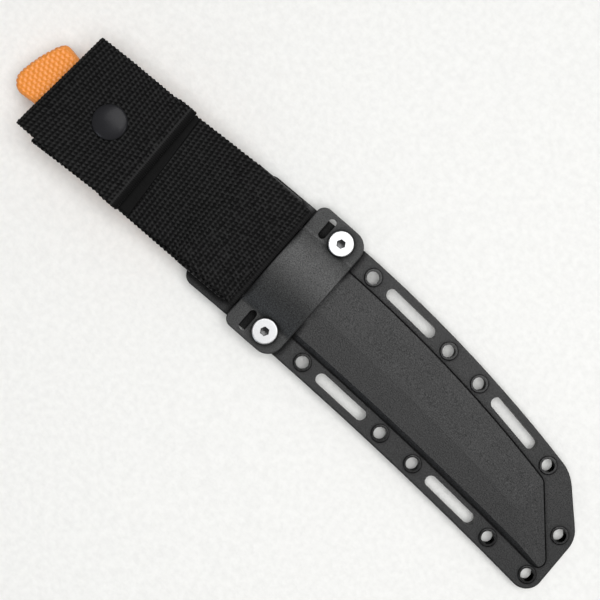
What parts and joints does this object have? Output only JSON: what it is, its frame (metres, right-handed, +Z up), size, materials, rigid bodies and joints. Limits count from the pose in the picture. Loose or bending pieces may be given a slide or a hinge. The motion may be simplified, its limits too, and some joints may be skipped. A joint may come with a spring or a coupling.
{
  "type": "sheathed rigging knife",
  "caption": "Fixed-blade rigging knife in a moulded two-shell sheath with lashing slots, eyelets and a snap-closed webbing belt hanger.",
  "frame": {"origin": "bottom centre of the whole object's box, sheath lying on its front shell with the knife in it", "axes": "+X from the grip's butt towards the sheath's tip, +Y towards the cutting edge, +Z up to the hanger side"},
  "size_m": [0.3059, 0.0711, 0.0332],
  "materials": {
    "blade_steel": "satin",
    "core_plastic": "matte",
    "grip_rubber": "matte, raised dots",
    "shell_plastic": "fine matte texture",
    "plate_plastic": "satin",
    "eyelet_black": "black oxide",
    "screw_steel": "bright satin",
    "webbing": "woven nylon",
    "snap_black": "black satin",
    "snap_nickel": "nickel"
  },
  "bodies": {
    "sheath": {"back_shell": "shell_plastic", "front_shell": "shell_plastic", "hanger_plate": "plate_plastic", "strap_end": "webbing", "eyelet_edge_1": "eyelet_black", "eyelet_spine_1": "eyelet_black", "eyelet_edge_2": "eyelet_black", "eyelet_spine_2": "eyelet_black", "eyelet_edge_3": "eyelet_black", "eyelet_spine_3": "eyelet_black", "eyelet_edge_4": "eyelet_black", "eyelet_spine_4": "eyelet_black", "eyelet_tip_1": "eyelet_black", "eyelet_tip_2": "eyelet_black", "edge_screw": "screw_steel", "edge_barrel_nut": "screw_steel", "spine_screw": "screw_steel", "spine_barrel_nut": "screw_steel"},
    "knife": {"blade": "blade_steel", "handle_core": "core_plastic", "grip": "grip_rubber"},
    "hanger": {"hanger_strap": "webbing", "loop_strap": "webbing", "snap_stud": "snap_nickel", "snap_post": "snap_nickel"},
    "flap": {"flap_strap": "webbing", "snap_cap": "snap_black", "snap_socket": "snap_nickel"}
  },
  "joints": [
    {"name": "knife_draw", "type": "hinge", "parent": "sheath", "child": "knife", "pos_m": [-0.039, -1.9115, 0.009], "axis": [0, 0, 1], "range_deg": [0, 6]},
    {"name": "hanger_swing", "type": "hinge", "parent": "sheath", "child": "hanger", "pos_m": [-0.0212, 0.0036, 0.0218], "axis": [0, 1, 0], "range_deg": [0, 90]},
    {"name": "flap_open", "type": "hinge", "parent": "hanger", "child": "flap", "pos_m": [-0.1355, 0.0036, 0.02465], "axis": [0, -1, 0], "range_deg": [0, 180]}
  ]
}
